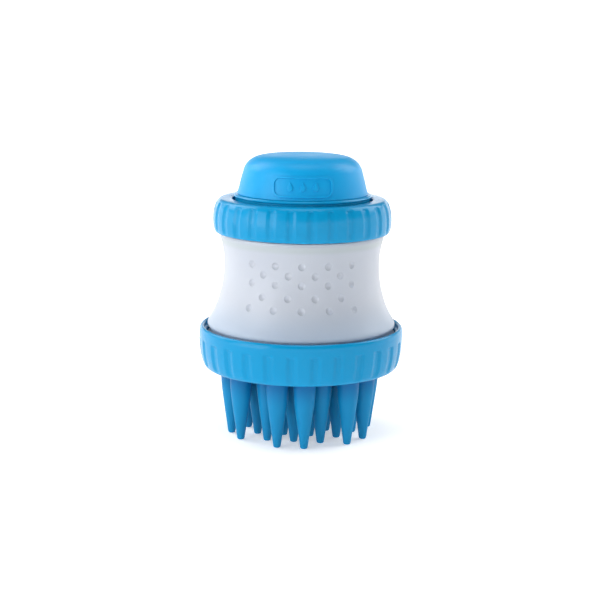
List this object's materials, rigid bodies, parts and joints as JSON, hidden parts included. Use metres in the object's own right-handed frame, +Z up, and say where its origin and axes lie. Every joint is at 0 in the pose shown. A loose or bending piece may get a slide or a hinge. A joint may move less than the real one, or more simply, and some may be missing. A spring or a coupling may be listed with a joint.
{
  "type": "shampoo dispensing bath scrubber",
  "caption": "Palm-held pet bath scrubber: soft push dome, fluted screw collars, frosted waisted shampoo reservoir, thick silicone bristles with spray holes and a sprung dispensing valve.",
  "frame": {"origin": "on the scrubber's axis, in the plane of the bristle tips", "axes": "+Z up along the axis from the bristles to the palm dome, front at -Y"},
  "size_m": [0.084, 0.084, 0.1154],
  "materials": {
    "soft_blue": "satin silicone",
    "hard_blue": "gloss moulded",
    "frosted": "frosted translucent",
    "natural": "natural moulded",
    "clear_rubber": "milky silicone",
    "steel": "drawn stainless wire"
  },
  "bodies": {
    "reservoir": {"reservoir": "frosted"},
    "lid": {"lid_cup": "natural", "lid_gasket": "clear_rubber", "stem_seal": "clear_rubber", "seal_retainer": "natural", "vent_valve": "clear_rubber", "return_spring": "steel"},
    "upper_collar": {"upper_collar": "hard_blue"},
    "button": {"palm_dome": "soft_blue", "button_frame": "hard_blue", "push_rod": "natural", "rod_clip": "steel"},
    "brush_head": {"brush_pad": "soft_blue", "dispensing_plate": "hard_blue", "lower_gasket": "clear_rubber", "valve_cage": "natural", "valve_spring": "steel"},
    "lower_collar": {"lower_collar": "hard_blue"},
    "valve": {"valve_poppet": "natural", "valve_seal": "clear_rubber"}
  },
  "joints": [
    {"name": "lid_rise", "type": "slide", "parent": "reservoir", "child": "lid", "axis": [0, 0, 1], "range_m": [0, 0.006]},
    {"name": "upper_collar_turn", "type": "hinge", "parent": "lid", "child": "upper_collar", "pos_m": [0, 0, 0.0907], "axis": [0, 0, 1], "range_deg": [0, 360]},
    {"name": "button_push", "type": "slide", "parent": "lid", "child": "button", "axis": [0, 0, -1], "range_m": [0, 0.004], "stiffness_N_per_m": 900, "springref_m": -0.006, "deforming": ["return_spring"]},
    {"name": "brush_head_drop", "type": "slide", "parent": "reservoir", "child": "brush_head", "axis": [0, 0, -1], "range_m": [0, 0.006]},
    {"name": "lower_collar_turn", "type": "hinge", "parent": "brush_head", "child": "lower_collar", "pos_m": [0, 0, 0.0365], "axis": [0, 0, -1], "range_deg": [0, 360]},
    {"name": "valve_open", "type": "slide", "parent": "brush_head", "child": "valve", "axis": [0, 0, -1], "range_m": [0, 0.004], "stiffness_N_per_m": 250, "springref_m": -0.004, "deforming": ["valve_spring"]}
  ],
  "couplings": [
    {"joint": "upper_collar_turn", "follows": "lid_rise", "rad_per_m": 1047.2},
    {"joint": "lower_collar_turn", "follows": "brush_head_drop", "rad_per_m": 1047.2},
    {"joint": "valve_open", "follows": "button_push", "ratio": 1}
  ]
}
